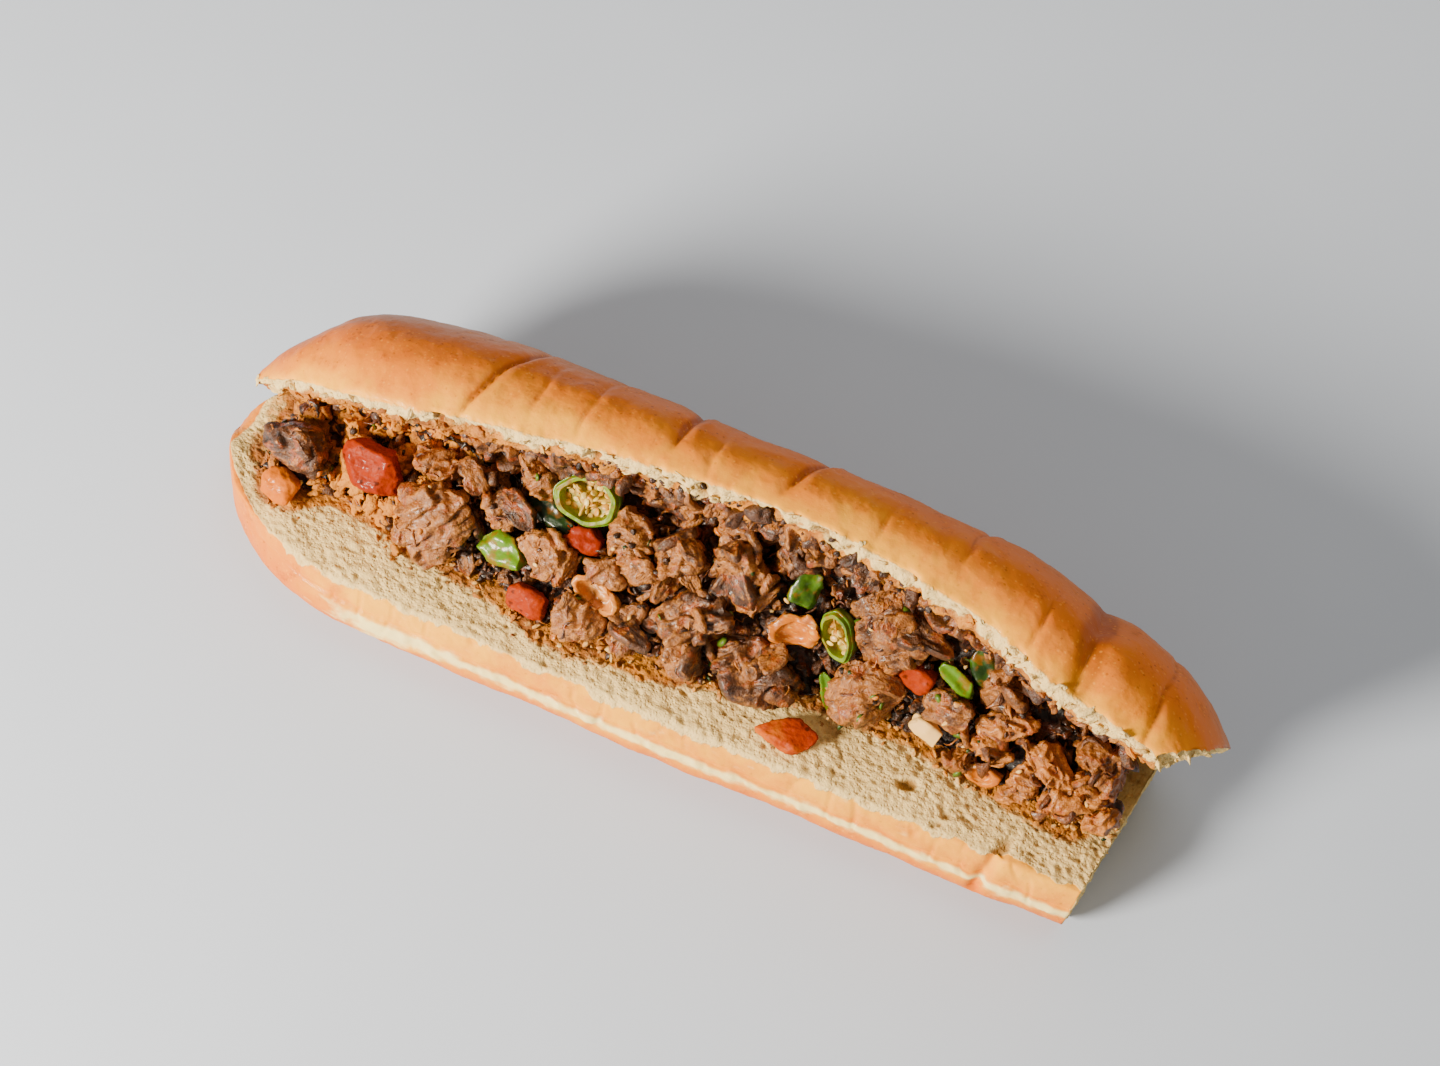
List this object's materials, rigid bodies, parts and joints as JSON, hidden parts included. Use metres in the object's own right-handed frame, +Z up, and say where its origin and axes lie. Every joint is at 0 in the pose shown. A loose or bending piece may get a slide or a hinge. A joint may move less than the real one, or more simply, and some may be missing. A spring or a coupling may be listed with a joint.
{
  "type": "sandwich",
  "caption": "Long soft roll, slit and opened along one side, filled with fried chopped meat, tomato, green pepper and onion.",
  "frame": {"origin": "on the surface the roll rests on, under the middle of its bounding box", "axes": "+X along the roll from its round end to its cut end, +Y from the open front to the hinged back where the lid stands up, +Z up"},
  "size_m": [0.2622, 0.0748, 0.0724],
  "materials": {
    "baked_crust": "baked bread crust, satin, with a cream crumb inside",
    "filling_heap": "minced fried meat in an oily orange sauce",
    "meat_chunk": "fried meat, moist",
    "meat_shred": "pulled meat in sauce, moist",
    "onion_piece": "soft fried onion, translucent",
    "pepper_slice": "green pepper slice with seeds, wet",
    "pepper_strip": "green pepper skin, wet",
    "tomato_piece": "soft cooked tomato, wet"
  },
  "bodies": {
    "root": {"bread_roll": "baked_crust", "filling_heap": "filling_heap", "meat_chunk_01": "meat_chunk", "meat_chunk_02": "meat_chunk", "meat_chunk_03": "meat_chunk", "meat_chunk_04": "meat_chunk", "meat_chunk_05": "meat_chunk", "meat_chunk_06": "meat_chunk", "meat_chunk_07": "meat_chunk", "meat_chunk_08": "meat_chunk", "meat_chunk_09": "meat_chunk", "meat_chunk_10": "meat_chunk", "meat_chunk_11": "meat_chunk", "meat_chunk_12": "meat_chunk", "meat_chunk_13": "meat_chunk", "meat_chunk_14": "meat_chunk", "meat_chunk_15": "meat_chunk", "meat_chunk_16": "meat_chunk", "meat_chunk_17": "meat_chunk", "meat_chunk_18": "meat_chunk", "meat_chunk_19": "meat_chunk", "meat_chunk_20": "meat_chunk", "meat_chunk_21": "meat_chunk", "meat_chunk_22": "meat_chunk", "meat_chunk_23": "meat_chunk", "meat_chunk_24": "meat_chunk", "meat_chunk_25": "meat_chunk", "meat_shred_01": "meat_shred", "meat_shred_02": "meat_shred", "meat_shred_03": "meat_shred", "meat_shred_04": "meat_shred", "meat_shred_05": "meat_shred", "meat_shred_06": "meat_shred", "meat_shred_07": "meat_shred", "onion_piece_01": "onion_piece", "onion_piece_02": "onion_piece", "onion_piece_03": "onion_piece", "onion_piece_04": "onion_piece", "pepper_slice_01": "pepper_slice", "pepper_slice_02": "pepper_slice", "pepper_strip_01": "pepper_strip", "pepper_strip_02": "pepper_strip", "pepper_strip_03": "pepper_strip", "pepper_strip_04": "pepper_strip", "pepper_strip_05": "pepper_strip", "pepper_strip_06": "pepper_strip", "tomato_piece_01": "tomato_piece", "tomato_piece_02": "tomato_piece", "tomato_piece_03": "tomato_piece", "tomato_piece_04": "tomato_piece", "tomato_piece_05": "tomato_piece", "tomato_piece_06": "tomato_piece"}
  },
  "joints": []
}
